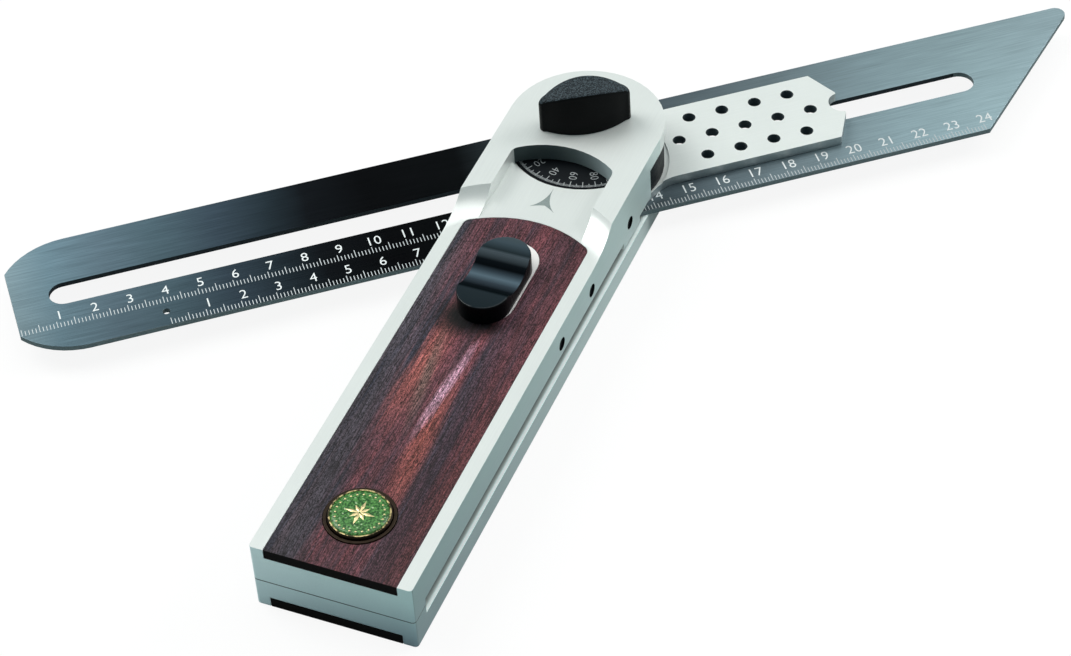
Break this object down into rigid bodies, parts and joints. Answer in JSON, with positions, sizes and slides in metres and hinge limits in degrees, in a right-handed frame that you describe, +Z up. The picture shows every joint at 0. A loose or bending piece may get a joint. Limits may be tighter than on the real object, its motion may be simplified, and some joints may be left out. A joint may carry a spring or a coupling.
{
  "type": "multi-function sliding square",
  "caption": "Aluminium-handled sliding bevel square with a slotted steel blade, protractor drum, marking plate, clamp knob and click-stop slider.",
  "frame": {"origin": "on the pivot axis at the underside of the handle, the flush face of the pivot bolt's head", "axes": "+Z up along the pivot axis, +Y from the handle towards its rounded head, +X to the right seen from above with the head away"},
  "size_m": [0.248, 0.2873, 0.0395],
  "materials": {
    "handle_aluminium": "satin, fine linear grain, clear anodised",
    "plate_aluminium": "bright satin",
    "blade_steel": "ground blue-grey steel with white graduations",
    "rosewood": "dark red-brown rosewood, lacquered",
    "plain_steel": "turned steel",
    "black_steel": "black oxide",
    "black_anodised": "black anodised with white graduations",
    "black_plastic": "finely textured",
    "gloss_black": "polished",
    "green_enamel": "enamel with a gilt rim",
    "dark_bronze": "darkened",
    "brass": "turned"
  },
  "bodies": {
    "handle": {"upper_shell": "handle_aluminium", "lower_shell": "handle_aluminium", "top_inlay": "rosewood", "bottom_inlay": "rosewood", "slide_plate": "plate_aluminium", "pivot_bolt": "plain_steel", "cap_washer": "plain_steel", "slider_guide": "brass", "plunger_bushing": "brass", "medallion": "green_enamel", "medallion_bezel": "dark_bronze", "side_screw_1": "black_steel", "side_screw_2": "black_steel", "side_screw_3": "black_steel", "end_screw_left": "black_steel", "end_screw_right": "black_steel", "end_dowel_left": "plain_steel", "end_dowel_right": "plain_steel"},
    "rotor": {"carrier": "plate_aluminium", "protractor_drum": "black_anodised", "drum_screw_1": "black_steel", "drum_screw_2": "black_steel", "drum_screw_3": "black_steel"},
    "blade": {"blade": "blade_steel"},
    "clamp": {"clamp_knob": "black_plastic", "knob_insert": "brass"},
    "slider": {"slider_knob": "gloss_black", "slider_bar": "plain_steel", "stop_plunger": "plain_steel", "stop_spring": "plain_steel"}
  },
  "joints": [
    {"name": "carrier_turn", "type": "hinge", "parent": "handle", "child": "rotor", "pos_m": [0, 0, 0.01], "axis": [0, 0, 1], "range_deg": [-43.3, 145.7]},
    {"name": "blade_slide", "type": "slide", "parent": "rotor", "child": "blade", "axis": [0.7793, 0.6266, 0], "range_m": [-0.1055, 0.1445]},
    {"name": "knob_turn", "type": "hinge", "parent": "handle", "child": "clamp", "pos_m": [0, 0, 0.03], "axis": [0, 0, 1], "range_deg": [0, 180]},
    {"name": "slider_slide", "type": "slide", "parent": "handle", "child": "slider", "axis": [0, 1, 0], "range_m": [0, 0.004]}
  ]
}
